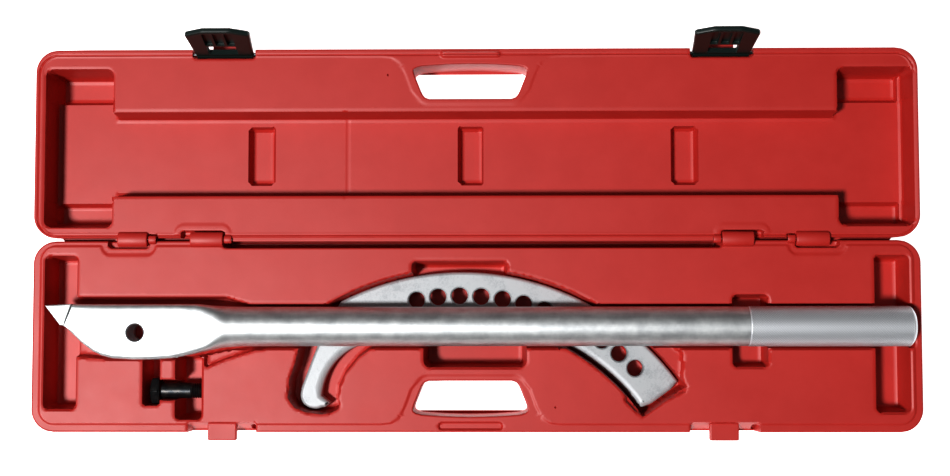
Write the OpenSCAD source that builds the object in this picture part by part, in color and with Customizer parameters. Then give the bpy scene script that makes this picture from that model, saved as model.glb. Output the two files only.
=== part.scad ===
// Lever-and-hook lug wrench, stored dismantled in its open blow-moulded case.
// Millimetres. +X runs along the case, +Y from the base half towards the lid half, +Z up.
// The origin is the centre of the base half's underside.

/* [Case] */
// Length of each case half
case_l = 776; // [770:1:800]
// Depth of each half, from the hinge line to its free edge
half_d = 168; // [167:0.5:180]
// Height of each half, from its underside to its rim
half_h = 42; // [40:1:60]
// Corner radius of each half, seen from above
case_corner_r = 20; // [12:1:26]
// Gap between the hinge line and each half's back edge
hinge_gap = 1.2; // [1:0.1:2]
// Depth of the lid's main hollow below its rim
lid_deep = 28; // [26:0.5:30]
// Depth of the lid's four corner pockets and floor recesses
lid_pocket_deep = 36; // [32:1:38]
// Depth of the base's finger recesses
recess_deep = 30; // [24:1:34]

/* [Handles and latches] */
// Centre of both hand holes along X
handle_x = -4; // [-10:1:10]
// Centre of the left latch along X
latch_left_x = -221; // [-240:1:-200]
// Centre of the right latch along X
latch_right_x = 216.5; // [200:0.5:240]
// Width of a latch plate
latch_w = 50; // [44:1:52]
// Length of a latch plate from its pivot
latch_l = 45; // [42:1:46]
// Thickness of a latch plate
latch_t = 5; // [4:0.5:5]
// Angle at which a latch stands above the rim's plane
latch_elev = 73; // [71:1:75]
// Width of the catch that the latch's window takes
catch_w = 24; // [18:1:26]

/* [Lever bar] */
// Diameter of the round bar
bar_d = 34.9; // [30:0.1:36]
// Height of the bar's centre line above the rims
bar_above_rim = 6; // [4:0.5:8]
// X of the bar's grip end
bar_end_x = 377.5; // [370:0.5:382]
// Length of the knurled grip
grip_l = 142; // [100:1:180]
// Thickness of the flat head
head_t = 30; // [28:0.5:32]
// Width of the slot that takes the hook arm
head_slot_t = 14.8; // [14.4:0.1:16]
// Diameter of the pivot hole and of the arm's holes
pivot_hole_d = 14.5; // [14.2:0.1:16]

/* [Hook arm] */
// Thickness of the hook arm
arm_t = 14; // [12:0.5:14.2]
// Outer radius of the arc
arm_outer_r = 234.7; // [234:0.1:235.5]
// Inner radius of the arc
arm_inner_r = 194.3; // [194:0.1:198]
// Radius of the circle through the adjustment holes
arm_hole_r = 213.6; // [212:0.1:216]
// Number of adjustment holes
arm_holes = 12; // [6:1:12]
// Distance between adjustment holes along their circle
arm_hole_pitch = 19.05; // [18:0.05:19.1]

/* [Pivot bolt] */
// Diameter of the bolt's shank
bolt_d = 14; // [12:0.5:14]
// Length of the bolt under its head
bolt_l = 37.5; // [34:0.5:37.5]
// Width of the hexagon across its flats
bolt_af = 22; // [20:0.5:22]
// Height of the hexagon
bolt_head_t = 8; // [7:0.1:9]

/* [Hidden] */
$fn = 64;
eps = 0.01;

// places shared by several pieces
hinge_y = (half_d + hinge_gap) / 2;    // hinge line; the origin is the base half's centre
hinge_z = half_h + 0.25;               // closed rims stay 0.5 apart
bar_y = hinge_y - 76;
bar_z = half_h + bar_above_rim;
bar_r = bar_d / 2;
channel_deep = bar_r - bar_above_rim + 0.4;
head_x = -291.9;                       // pivot hole of the bar
head_hole_y = hinge_y - 80.9;
shank_x = -200;                        // where the flat head has become the round bar
arm_x = -11.6;                         // centre of the hook arm's arc
arm_y = hinge_y - 263;
arm_top = bar_z - bar_r - 0.5;
arm_floor = arm_top - arm_t - 0.3;
arm_end = 54.4;                        // end of the arc, in degrees right of +Y
arm_start = -30;                       // where the arc runs into the hook
hole_step = arm_hole_pitch / arm_hole_r * 180 / PI;
hole_first = -10.8;                    // first hole, in degrees right of +Y
bolt_y = hinge_y - 132.5;
bolt_z = half_h - 14.5;
bolt_x = -276.9;                       // underside of the bolt's head

// hinges: each row is [knuckle from, knuckle to, inner side (+1 right, -1 left), 1 if the knuckle is the lid's]
hinges = [[-313, -287, 1, 1], [-249.3, -220.6, 1, 0], [215.3, 242.8, -1, 0], [279.7, 308.4, -1, 1]];
knuckle_r = 7;
ear_r = 3.8;
ear_l = 7;
hinge_play = 0.6;                      // clearance round and beside a knuckle or an ear
outer_play = 8.5;                      // room beside a knuckle's outer end
pin_r = 1.75;

// latches
latch_in = 4;                          // pivot, measured in from the lid's free edge
latch_drop = 3.5;                      // pivot below the lid's rim
latch_barrel_r = 3.2;
latch_pin_r = 1.5;
latch_seat_w = latch_w + 4;

module rounded_plan(x0, x1, y0, y1, r) {
    translate([x0 + r, y0]) square([x1 - x0 - 2 * r, y1 - y0]);
    translate([x0, y0 + r]) square([x1 - x0, y1 - y0 - 2 * r]);
    for (x = [x0 + r, x1 - r], y = [y0 + r, y1 - r]) translate([x, y]) circle(r);
}

// Whatever plan it is given, cut from the rim down to a depth.
module sink(deep) {
    translate([0, 0, half_h - deep]) linear_extrude(deep + 1) children();
}

module pocket(x0, x1, y0, y1, deep, r = 4) {
    sink(deep) rounded_plan(x0, x1, y0, y1, r);
}

// A cylinder along X.
module rod(x0, x1, r) {
    translate([x0, 0, 0]) rotate([0, 90, 0]) cylinder(r = r, h = x1 - x0);
}

// A ring sector round the arc's centre, between two angles right of +Y.
module arc_plan(r0, r1, a0, a1) {
    difference() {
        circle(r1, $fn = 180);
        circle(r0, $fn = 180);
        far = 2 * r1;
        polygon([[0, 0], for (a = [a1 : (360 + a0 - a1) / 6 : 360 + a0 + 0.01]) [far * sin(a), far * cos(a)]]);
    }
}

// One half's block, with its back edge at the hinge line; side is +1 for the lid and -1 for the base.
module half_block(side) {
    y0 = side > 0 ? hinge_gap : -half_d;
    linear_extrude(half_h)
        rounded_plan(-case_l / 2, case_l / 2, y0, y0 + half_d - hinge_gap, case_corner_r);
}

// The hand hole, narrow towards the hinge and bowed towards the free edge.
module hand_hole(side) {
    translate([handle_x, 0, -1]) linear_extrude(half_h + 2)
        polygon([for (p = [[-36, 122.5], [36, 122.5], [40, 124.2], [43.5, 128], [50.5, 145], [50.5, 149.5],
            [47.5, 152.4], [40, 153.8], [-40, 153.8], [-47.5, 152.4], [-50.5, 149.5], [-50.5, 145],
            [-43.5, 128], [-40, 124.2]]) [p[0], side * p[1]]]);
}

// Knuckles and ears of one half, and the room they need in the other; lid is 1 or 0.
module hinge_solids(lid) {
    for (h = hinges) {
        inner = h[2] > 0 ? h[1] : h[0];
        if (h[3] == lid) {
            rod(h[0], h[1], knuckle_r);
        } else {
            x = h[2] > 0 ? inner + hinge_play : inner - hinge_play - ear_l;
            rod(x, x + ear_l, ear_r);
        }
    }
}

module hinge_rooms(lid) {
    for (h = hinges) {
        if (h[3] == lid) {
            x = h[2] > 0 ? h[1] : h[0] - ear_l - 2 * hinge_play;
            rod(x, x + ear_l + 2 * hinge_play, ear_r + hinge_play);
        } else {
            left = h[2] > 0 ? outer_play : hinge_play;
            right = h[2] > 0 ? hinge_play : outer_play;
            side = lid == 1 ? 1 : -1;
            depth = knuckle_r + hinge_play;
            translate([h[0] - left, side > 0 ? 0 : -depth, -depth])
                cube([h[1] - h[0] + left + right, depth, depth + 10]);
        }
    }
}

// Bores for the pins: a press fit in the base's pieces, a running fit in the lid's.
module hinge_bores(play) {
    reach = ear_l + 1.2 * hinge_play;
    for (h = hinges) rod(h[0] - reach, h[1] + reach, pin_r + play);
}

module case_base() {
    color("#c8403a") translate([0, hinge_y, 0]) difference() {
        union() {
            difference() {
                half_block(-1);
                translate([0, 0, hinge_z]) hinge_rooms(0);
                // relief along the back edge, between the middle knuckles
                translate([hinges[1][1], -hinge_gap - 6.4, 16]) cube([hinges[2][0] - hinges[1][1], 8, half_h]);
            }
            translate([0, 0, hinge_z]) hinge_solids(0);
        }
        translate([0, 0, hinge_z]) hinge_bores(0);
        // finger recesses at both ends
        pocket(-377, -349, -148, -14.6, recess_deep);
        pocket(347.6, 377, -150.7, -14.8, recess_deep);
        // channel for the bar, pocket for its head, and the finger notch at the grip
        pocket(-350, 381.5, -95, -57, channel_deep, r = 3);
        sink(channel_deep)
            polygon([[-352, -50.5], [-219, -50.5], [-197, -57], [-195, -95], [-222, -98.6], [-250, -104.3],
                [-320, -104.3], [-352, -102]]);
        pocket(224, 255, -111.5, -49, 24);
        // ledge beside the head
        sink(6) polygon([[-236, -100], [-236, -112], [-218, -104.5], [-191, -96.2], [-172, -92.4], [-195, -90]]);
        // recesses that let fingers in above the arc and under the bar
        pocket(-55, 28.4, -45, -19.3, 30);
        pocket(-44.5, 44.5, -111.8, -80, 30, r = 6);
        // pocket for the hook arm
        sink(half_h - arm_floor) {
            translate([arm_x, arm_y - hinge_y]) arc_plan(arm_inner_r - 3.4, arm_outer_r + 2.6, arm_start, arm_end + 1);
            polygon([[-121, -60], [-55, -30.5], [28.4, -30.5], [102, -60]]);
            polygon([[-87, -92], [-102, -103.5], [-113, -117], [-118.5, -129], [-119.5, -139], [-118, -147],
                [-133, -152], [-146, -150.8], [-157, -146.5], [-163, -138.5], [-160, -121], [-155, -109],
                [-156, -92], [-148, -60], [-100, -60]]);
        }
        sink(5)
            polygon([[150, -92], [171, -92], [180.5, -100], [179.6, -119.1], [182.4, -132.6], [141.1, -151.7],
                [130, -140]]);
        // bolt pocket: head slot, shank slot between the jaws, and the deep end
        bolt_row = bolt_y - hinge_y;
        pocket(-290, bolt_x + 1.5, bolt_row - 12, -102, 28, r = 1.5);
        pocket(bolt_x - 1, -250, bolt_row - 7.6, bolt_row + 10, 28, r = 0.8);
        pocket(-261.4, -238.6, -156.7, -102, 30, r = 2);
        hand_hole(-1);
        // slot for the lid's key rib
        pocket(-31.8, 23.8, -165.8, -159.6, 3.5, r = 1);
        // sloped seats that the latches lie on
        for (x = [latch_left_x, latch_right_x]) translate([x - latch_seat_w / 2 - 1, 0, half_h])
            rotate([90, 0, 90]) linear_extrude(latch_seat_w + 2)
                translate([-half_d, 0]) polygon([[9.2, 1], [8.8, 0], [-0.4, -20], [-12, -20], [-12, 1]]);
    }
    // catches
    color("#c8403a") for (x = [latch_left_x, latch_right_x])
        translate([x - catch_w / 2, hinge_y - half_d - 6.2, half_h - 10.5]) cube([catch_w, 14, 7]);
}

module case_lid() {
    color("#cb443d") translate([0, hinge_y, 0]) difference() {
        union() {
            difference() {
                half_block(1);
                translate([0, 0, hinge_z]) hinge_rooms(1);
            }
            translate([0, 0, hinge_z]) hinge_solids(1);
            // key rib
            translate([-30, 160.2, half_h - 1]) cube([52, 5, 3.2]);
        }
        translate([0, 0, hinge_z]) hinge_bores(0.08);
        // main hollow and the two end hollows
        pocket(-340, 340, 38.5, 112, lid_deep);
        pocket(-378.6, -319.5, 11.6, 150, lid_deep);
        pocket(317.8, 383, 12.5, 150, lid_deep);
        // deeper pockets in the four corners
        for (y = [[12.6, 34], [123, 149]]) {
            pocket(-376, -321, y[0], y[1], lid_pocket_deep);
            pocket(320, 380, y[0], y[1], lid_pocket_deep);
        }
        // three small recesses in the floor
        for (x = [-192, -3.5, 187.5]) pocket(x - 12.5, x + 12.5, 49.5, 104, lid_pocket_deep);
        hand_hole(1);
        // seats that the latches turn in, open at the free edge
        for (x = [latch_left_x, latch_right_x]) {
            translate([x - latch_seat_w / 2, half_d - latch_in - 4.2, half_h - 14]) cube([latch_seat_w, 20, 20]);
            translate([x, half_d - latch_in, half_h - latch_drop])
                rod(-latch_seat_w / 2 - 6, latch_seat_w / 2 + 6, latch_pin_r);
        }
    }
}

module hinge_pin(i) {
    h = hinges[i];
    x0 = h[2] > 0 ? h[0] + 2 : h[0] - ear_l - hinge_play;
    x1 = h[2] > 0 ? h[1] + ear_l + hinge_play : h[1] - 2;
    color("#9a9da0") translate([0, hinge_y, hinge_z]) rod(x0, x1, pin_r);
}

// A latch plate with its pivot barrel, window, bevelled corners and ribbed hollow, lying along +Y.
module latch_plate() {
    w = latch_w / 2;
    difference() {
        union() {
            rod(-w, w, latch_barrel_r);
            translate([0, 0, -latch_t / 2]) linear_extrude(latch_t)
                polygon([[-w, 0], [w, 0], [w + 1, latch_l - 7], [w - 14, latch_l], [-w + 14, latch_l],
                    [-w - 1, latch_l - 7]]);
        }
        translate([-catch_w / 2 - 1, 5, -latch_t]) cube([catch_w + 2, 14.5, 2 * latch_t]);
        // hollow above the window, crossed by two ribs
        difference() {
            translate([-catch_w / 2 - 1, 19, -0.5]) cube([catch_w + 2, latch_l - 22, latch_t]);
            for (x = [-5, 5]) translate([x - 1, 19.5, -1]) cube([2, latch_l, latch_t]);
        }
        rod(-w - 1, w + 1, latch_pin_r + 0.08);
    }
}

module latch(x) {
    color("#1c2624") translate([x, hinge_y + half_d - latch_in, half_h - latch_drop])
        rotate([latch_elev, 0, 0]) latch_plate();
}

module latch_pin(x) {
    color("#9a9da0") translate([x, hinge_y + half_d - latch_in, half_h - latch_drop])
        rod(-latch_seat_w / 2 - 5, latch_seat_w / 2 + 5, latch_pin_r);
}

// Outline of the bar's head, about the bar's centre line: a straight upper edge and a bellied lower one.
module head_plan() {
    polygon([[-346.7, 19.4], [-240, 19.4], [-228, 18.2], [shank_x, bar_r - 0.4], [shank_x, -bar_r + 0.4],
        [-219.5, -18.4], [-236.8, -22], [-249.8, -24.9], [-261, -27.1], [-275, -28.1], [-294.5, -28.3],
        [-311.5, -27.4], [-321.5, -24.8], [-328.5, -21.3], [-338.5, -13.6], [-353.1, 1.1]]);
}

module lever_bar() {
    color("#b9bcbd") difference() {
        union() {
            translate([0, bar_y, bar_z]) {
                rod(shank_x - 6, bar_end_x - 4, bar_r - 0.2);
                rod(bar_end_x - grip_l, bar_end_x - 4, bar_r);
                translate([bar_end_x - 4, 0, 0]) rotate([0, 90, 0]) cylinder(r1 = bar_r, r2 = bar_r - 4, h = 4);
            }
            translate([0, bar_y, bar_z - head_t / 2]) linear_extrude(head_t) head_plan();
        }
        translate([head_x, head_hole_y, 0]) cylinder(d = pivot_hole_d, h = 100);
        translate([head_x - 32, bar_y - 40, bar_z - head_slot_t / 2]) cube([66, 80, head_slot_t]);
        // seat of the bite tip
        translate([0, bar_y, 0]) linear_extrude(100) polygon([[-400, 30], [-346.7, 30], [-353.1, 1.1], [-400, 1.1]]);
    }
}

module bite_tip() {
    color("#c4c7c8") translate([0, bar_y, bar_z - head_t / 2 + 0.3]) linear_extrude(head_t - 0.6)
        polygon([[-370, 18.4], [-347, 19.7], [-353.4, 1.3], [-356.8, 1.5]]);
}

module hook_plan() {
    difference() {
        union() {
            polygon([[-122, -59], [-139.3, -93.2], [-148, -116], [-153.3, -129.5], [-140, -148.8], [-134, -147.6],
                [-127.9, -143.2], [-135.4, -136.3], [-128, -100], [-100, -80], [-100, -52]]);
            translate([-141.4, -136.2]) circle(12.8);
        }
        translate([-85, -140]) circle(50.2);
    }
}

module hook_arm() {
    color("#c9cbcc") difference() {
        translate([0, 0, arm_top - arm_t]) linear_extrude(arm_t) {
            translate([arm_x, arm_y]) arc_plan(arm_inner_r, arm_outer_r, arm_start + 2, arm_end);
            translate([0, hinge_y]) hook_plan();
        }
        for (i = [0 : arm_holes - 1]) {
            a = hole_first + i * hole_step;
            translate([arm_x + arm_hole_r * sin(a), arm_y + arm_hole_r * cos(a), 0])
                cylinder(d = pivot_hole_d, h = 100);
        }
    }
}

module pivot_bolt() {
    color("#2b2d2e") translate([0, bolt_y, bolt_z]) {
        rod(bolt_x - eps, bolt_x + bolt_l, bolt_d / 2);
        translate([bolt_x - bolt_head_t, 0, 0]) rotate([0, 90, 0])
            cylinder(d = bolt_af / cos(30), h = bolt_head_t, $fn = 6);
    }
}

case_base();
case_lid();
hinge_pin(0);  // hinge_pin_1
hinge_pin(1);  // hinge_pin_2
hinge_pin(2);  // hinge_pin_3
hinge_pin(3);  // hinge_pin_4
latch(latch_left_x);  // latch_left
latch(latch_right_x);  // latch_right
latch_pin(latch_left_x);  // latch_pin_left
latch_pin(latch_right_x);  // latch_pin_right
lever_bar();
bite_tip();
hook_arm();
pivot_bolt();
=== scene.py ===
"""Lever-and-hook lug wrench in its open case: surfaces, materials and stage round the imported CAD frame."""

import math

import bpy
import numpy as np
from bpy.props import FloatProperty, FloatVectorProperty, IntProperty, PointerProperty
from mathutils import Matrix, Vector
from mathutils.geometry import tessellate_polygon


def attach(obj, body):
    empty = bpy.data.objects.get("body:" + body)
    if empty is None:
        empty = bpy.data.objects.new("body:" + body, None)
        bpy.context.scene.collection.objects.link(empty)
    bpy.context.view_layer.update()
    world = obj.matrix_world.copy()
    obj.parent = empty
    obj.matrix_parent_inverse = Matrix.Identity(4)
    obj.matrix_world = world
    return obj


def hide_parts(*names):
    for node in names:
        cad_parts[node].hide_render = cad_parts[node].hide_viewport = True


bl_info = {
    "name": "Lug Wrench in Its Case",
    "version": (1, 0, 0),
    "blender": (4, 5, 0),
    "location": "View3D > Sidebar > Lug Wrench",
    "description": "Builds a lever-and-hook lug wrench, its moulded case and a plain stage",
    "category": "Object",
}

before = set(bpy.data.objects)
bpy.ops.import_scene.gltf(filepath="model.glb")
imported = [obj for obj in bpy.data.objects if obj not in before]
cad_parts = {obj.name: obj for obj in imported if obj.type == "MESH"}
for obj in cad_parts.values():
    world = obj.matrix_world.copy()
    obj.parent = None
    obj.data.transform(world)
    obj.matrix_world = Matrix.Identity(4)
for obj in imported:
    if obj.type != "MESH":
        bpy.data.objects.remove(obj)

# Places shared by several pieces, in millimetres; Y is measured from the hinge line.
HINGE_Y = 84.6
HINGE_Z = 42.25
RIM = 42.0
CASE_X = 388.0
FREE_Y = 168.0
CORNER_R = 20.0
LATCH_X = (-221.0, 216.5)
LATCH_IN = 4.0
LATCH_TURN = 73.0
HEAD_HOLE = (-291.9, -80.9)
BAR_END = 377.5
ARM_HOLES = (12, -10.8, 213.6, 19.05)
HANDLE_X = -4.0
BAR_Y = -76.0
BAR_Z = 48.0
BAR_R = 17.45
ARM_CENTRE = (-11.6, -263.0)
ARM_TOP = 30.05
ARM_T = 14.0
BOLT = (-276.9, -132.5, 27.5)
# knuckle from, knuckle to, inner side (+1 right), 1 if the knuckle is the lid's
HINGES = ((-313, -287, 1, 1), (-249.3, -220.6, 1, 0), (215.3, 242.8, -1, 0), (279.7, 308.4, -1, 1))


# ---------------------------------------------------------------- colours and materials


def linear(colour):
    """Linear RGBA from an sRGB hex string: each channel through the standard sRGB curve."""
    parts = [int(colour[i : i + 2], 16) / 255 for i in (1, 3, 5)]
    return tuple(c / 12.92 if c <= 0.04045 else ((c + 0.055) / 1.055) ** 2.4 for c in parts) + (1.0,)


def add(tree, kind, links=(), **settings):
    """Adds one shader node, sets its attributes or inputs, and links (output, input name) pairs into it."""
    node = tree.nodes.new(kind)
    for name, value in settings.items():
        if hasattr(node, name) and name not in node.inputs:
            setattr(node, name, value)
        else:
            node.inputs[name.replace("_", " ")].default_value = value
    for output, name in links:
        tree.links.new(output, node.inputs[name])
    return node


def start_material(name, **constants):
    """A material with one Principled shader; returns it, its tree, the shader and coordinates in metres."""
    material = bpy.data.materials.new(name)
    material.use_nodes = True
    tree = material.node_tree
    shader = tree.nodes["Principled BSDF"]
    for key, value in constants.items():
        shader.inputs[key.replace("_", " ")].default_value = value
    coords = add(tree, "ShaderNodeTexCoord").outputs["Object"]
    return material, tree, shader, coords


def ramp(tree, source, low, high, colours):
    """A two-stop colour ramp driven by source, from colours[0] at low to colours[1] at high."""
    node = add(tree, "ShaderNodeValToRGB", [(source, "Fac")])
    for stop, place, colour in zip(node.color_ramp.elements, (low, high), colours):
        stop.position = place
        stop.color = colour
    return node.outputs["Color"]


def noise(tree, coords, size, detail=2.0, rough=0.5):
    """Noise whose blobs are about size metres across."""
    node = add(
        tree, "ShaderNodeTexNoise", [(coords, "Vector")], Scale=1.0 / size, Detail=detail, Roughness=rough,
    )
    return node.outputs["Fac"]


def spread(tree, source, low, high):
    """Source's 0 to 1 mapped to low to high."""
    return add(tree, "ShaderNodeMapRange", [(source, "Value")], To_Min=low, To_Max=high).outputs["Result"]


def total(tree, a, b):
    """The sum of two values."""
    return add(tree, "ShaderNodeMath", [(a, 0), (b, 1)], operation="ADD").outputs[0]


def bump(tree, shader, height, distance, strength=1.0, under=None):
    """Bump of that height in metres, on top of an earlier bump if one is given."""
    links = [(height, "Height")] + ([(under, "Normal")] if under else [])
    normal = add(tree, "ShaderNodeBump", links, Strength=strength, Distance=distance).outputs["Normal"]
    tree.links.new(normal, shader.inputs["Normal"])
    return normal


def blow_moulded_red(settings):
    """High-density polyethylene blown against a sand-blasted mould: even grain, a slight mottle."""
    material, tree, shader, coords = start_material("moulded_polyethylene_red", IOR=1.54)
    base = (*settings.red, 1.0)
    pale = tuple(min(1.0, c * 1.05 + 0.004) for c in base[:3]) + (1.0,)
    mottle = noise(tree, coords, 0.028, 3.0, 0.6)
    tree.links.new(ramp(tree, mottle, 0.35, 0.7, (base, pale)), shader.inputs["Base Color"])
    worn = noise(tree, coords, 0.06, 4.0, 0.65)
    rough = spread(tree, worn, settings.roughness - 0.05, settings.roughness + 0.08)
    tree.links.new(rough, shader.inputs["Roughness"])
    waves = bump(tree, shader, noise(tree, coords, 0.035, 1.0), 0.0003, 0.5)
    bump(tree, shader, noise(tree, coords, settings.grain, 2.0), 0.00006, 0.55, waves)
    return material


def latch_nylon():
    """Black nylon, injection moulded with a fine spark-eroded texture."""
    dark = linear("#10201D")
    material, tree, shader, coords = start_material(
        "moulded_nylon_black", Base_Color=dark, Roughness=0.42, IOR=1.53,
    )
    bump(tree, shader, noise(tree, coords, 0.0006), 0.00005, 0.5)
    return material


def forged_bar_steel(settings):
    """Zinc-plated forged and turned steel: fine grain left by tumbling and faint scratches along the bar."""
    material, tree, shader, coords = start_material("zinc_plated_forging", Metallic=1.0)
    stretched = add(tree, "ShaderNodeMapping", [(coords, "Vector")])
    stretched.inputs["Scale"].default_value = (0.06, 1.0, 1.0)
    drawn = noise(tree, stretched.outputs["Vector"], 0.0011, 3.0, 0.6)
    cloud = noise(tree, coords, 0.012, 4.0, 0.62)
    both = total(tree, spread(tree, drawn, 0.0, 0.3), cloud)
    tones = (linear("#BEC1C3"), linear("#DEE0E0"))
    tree.links.new(ramp(tree, both, 0.4, 0.9, tones), shader.inputs["Base Color"])
    rough = spread(tree, cloud, settings.bar_roughness - 0.07, settings.bar_roughness + 0.1)
    tree.links.new(rough, shader.inputs["Roughness"])
    dimples = bump(tree, shader, noise(tree, coords, 0.004, 3.0, 0.6), 0.00012, 0.5)
    bump(tree, shader, drawn, 0.00003, 0.5, dimples)
    return material


def knurled_steel():
    """The same plated steel after rolling: pale crests polished by hands, and painted shade darkening the
    knurl's valleys by pointiness.
    """
    material, tree, shader, coords = start_material("zinc_plated_knurl", Metallic=0.7, Roughness=0.5)
    crest = add(tree, "ShaderNodeNewGeometry").outputs["Pointiness"]
    # painted shade: the base colour runs from pale on the crests to dark grey in the valleys, driven by
    # pointiness
    tones = (linear("#8C8F94"), linear("#F2F4F8"))
    tree.links.new(ramp(tree, crest, 0.42, 0.56, tones), shader.inputs["Base Color"])
    bump(tree, shader, noise(tree, coords, 0.0015, 3.0), 0.00004, 0.5)
    return material


def cast_arm_paint(settings):
    """Sand-cast steel under aluminium paint: coarse grain in relief, metallic flake in the binder."""
    material, tree, shader, coords = start_material("aluminium_painted_casting", Metallic=0.2)
    grit = noise(tree, coords, 0.0014, 4.0, 0.7)
    blotch = noise(tree, coords, 0.018, 3.0, 0.6)
    both = total(tree, grit, blotch)
    tones = (linear("#A2A6A9"), linear("#B8BBBD"))
    tree.links.new(ramp(tree, both, 0.75, 1.25, tones), shader.inputs["Base Color"])
    rough = spread(tree, grit, settings.arm_roughness - 0.06, settings.arm_roughness + 0.1)
    tree.links.new(rough, shader.inputs["Roughness"])
    bump(tree, shader, grit, 0.00018, 0.6)
    return material


def black_oxide():
    """Forged bolt steel, blacked hot in a salt bath and oiled: dark, faint brown where the oxide is thin."""
    material, tree, shader, coords = start_material("black_oxide_bolt_steel", Metallic=0.85, Roughness=0.38)
    thin = noise(tree, coords, 0.005, 4.0, 0.6)
    tones = (linear("#2E3134"), linear("#4B4845"))
    tree.links.new(ramp(tree, thin, 0.45, 0.75, tones), shader.inputs["Base Color"])
    bump(tree, shader, noise(tree, coords, 0.0012), 0.00004, 0.5)
    return material


def drawn_wire():
    """Oiled drawn wire of the hinge and latch pins, with die lines along X."""
    grey = linear("#5A5C5E")
    material, tree, shader, coords = start_material(
        "drawn_wire_steel", Metallic=1.0, Roughness=0.3, Base_Color=grey,
    )
    lines = add(tree, "ShaderNodeMapping", [(coords, "Vector")])
    lines.inputs["Scale"].default_value = (0.02, 1.0, 1.0)
    bump(tree, shader, noise(tree, lines.outputs["Vector"], 0.0004), 0.00002, 0.5)
    return material


# ---------------------------------------------------------------- surface tools


class Shell:
    """Collects the points (millimetres, Y from the hinge line) and faces of one closed surface."""

    def __init__(self):
        self.points, self.count, self.faces = [], 0, []

    def add(self, points):
        points = np.asarray(points, float).reshape(-1, 3)
        index = np.arange(self.count, self.count + len(points))
        self.points.append(points)
        self.count += len(points)
        return index

    def strip(self, a, b):
        """Quads between two closed loops of equal length."""
        self.faces.append(np.stack([a, np.roll(a, -1), np.roll(b, -1), b], 1))

    def fill(self, loops, flip=False):
        """Flat triangles over one loop, or between an outer loop and its holes."""
        points = np.concatenate(self.points)
        order = np.concatenate(loops)
        lines = [[Vector((x, y, 0)) for x, y in flat(points[loop])] for loop in loops]
        tris = np.array([order[list(t)] for t in tessellate_polygon(lines)])
        a, b, c = (flat(points[tris[:, k]]) for k in range(3))
        area = (b[:, 0] - a[:, 0]) * (c[:, 1] - a[:, 1]) - (b[:, 1] - a[:, 1]) * (c[:, 0] - a[:, 0])
        wrong = (area < 0) != flip
        tris[wrong] = tris[wrong][:, ::-1]
        self.faces.append(tris)

    def loft(self, rings):
        """A closed skin over rings of equal length, each end closed by a fan to its middle."""
        loops = [self.add(ring) for ring in rings]
        for a, b in zip(loops, loops[1:]):
            self.strip(a, b)
        for loop, flip in ((loops[0], True), (loops[-1], False)):
            hub = self.add(np.concatenate(self.points)[loop].mean(0))[0]
            fan = np.stack([np.full(len(loop), hub), loop, np.roll(loop, -1)], 1)
            self.faces.append(fan[:, ::-1] if flip else fan)

    def piece(self, name, materials, body, nodes=(), slot=None, sharp=38.0):
        """The finished object, in metres in the shared frame, riding on its body."""
        points = np.concatenate(self.points) * 0.001
        points[:, 1] += HINGE_Y * 0.001
        mesh = bpy.data.meshes.new(name)
        mesh.from_pydata(points.tolist(), [], [f for block in self.faces for f in block.tolist()])
        mesh.validate()
        mesh.update()
        outward(mesh)
        mesh.shade_smooth()
        mesh.set_sharp_from_angle(angle=math.radians(sharp))
        obj = bpy.data.objects.new(name, mesh)
        bpy.context.scene.collection.objects.link(obj)
        for material in materials:
            mesh.materials.append(material)
        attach(obj, body)
        if nodes:
            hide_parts(*nodes)
        return obj


def flat(points):
    """The X and Y of points, as an array of pairs."""
    return np.asarray(points)[..., :2]


def outward(mesh):
    """Turns the whole surface round if its signed volume is negative."""
    mesh.calc_loop_triangles()
    tris = np.empty(len(mesh.loop_triangles) * 3, np.int32)
    mesh.loop_triangles.foreach_get("vertices", tris)
    co = np.empty(len(mesh.vertices) * 3)
    mesh.vertices.foreach_get("co", co)
    a, b, c = co.reshape(-1, 3)[tris.reshape(-1, 3)].transpose(1, 0, 2)
    if np.einsum("ij,ij->i", a, np.cross(b, c)).sum() < 0:
        mesh.flip_normals()


def carve(obj, cutter):
    """Subtracts a cutter shell's solid from obj by an exact boolean, and keeps the result as obj's mesh."""
    points = np.concatenate(cutter.points) * 0.001
    points[:, 1] += HINGE_Y * 0.001
    mesh = bpy.data.meshes.new("cutter")
    mesh.from_pydata(points.tolist(), [], [f for block in cutter.faces for f in block.tolist()])
    mesh.update()
    outward(mesh)
    tool = bpy.data.objects.new("cutter", mesh)
    bpy.context.scene.collection.objects.link(tool)
    cut = obj.modifiers.new("cut", "BOOLEAN")
    cut.operation, cut.solver, cut.object = "DIFFERENCE", "EXACT", tool
    cut.use_self = True
    ready = obj.evaluated_get(bpy.context.evaluated_depsgraph_get())
    made = bpy.data.meshes.new_from_object(ready)
    obj.modifiers.clear()
    obj.data = made
    made.shade_smooth()
    made.set_sharp_from_angle(angle=math.radians(32))
    bpy.data.objects.remove(tool)


def circle(n):
    """n pairs (cos, sin) round a circle."""
    t = np.arange(n) / n * 2 * math.pi
    return np.stack([np.cos(t), np.sin(t)], 1)


def lathe_z(shell, x, y, profile, n=48):
    """A solid of revolution about a line along Z through (x, y); profile rows are (radius, z)."""
    ring = circle(n)
    shell.loft([np.column_stack([x + r * ring[:, 0], y + r * ring[:, 1], np.full(n, z)]) for r, z in profile])


def lathe_x(shell, y, z, profile, n=48):
    """A solid of revolution about a line along X through (y, z); profile rows are (x, radius)."""
    ring = circle(n)
    shell.loft([np.column_stack([np.full(n, x), y + r * ring[:, 0], z + r * ring[:, 1]]) for x, r in profile])


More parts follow.
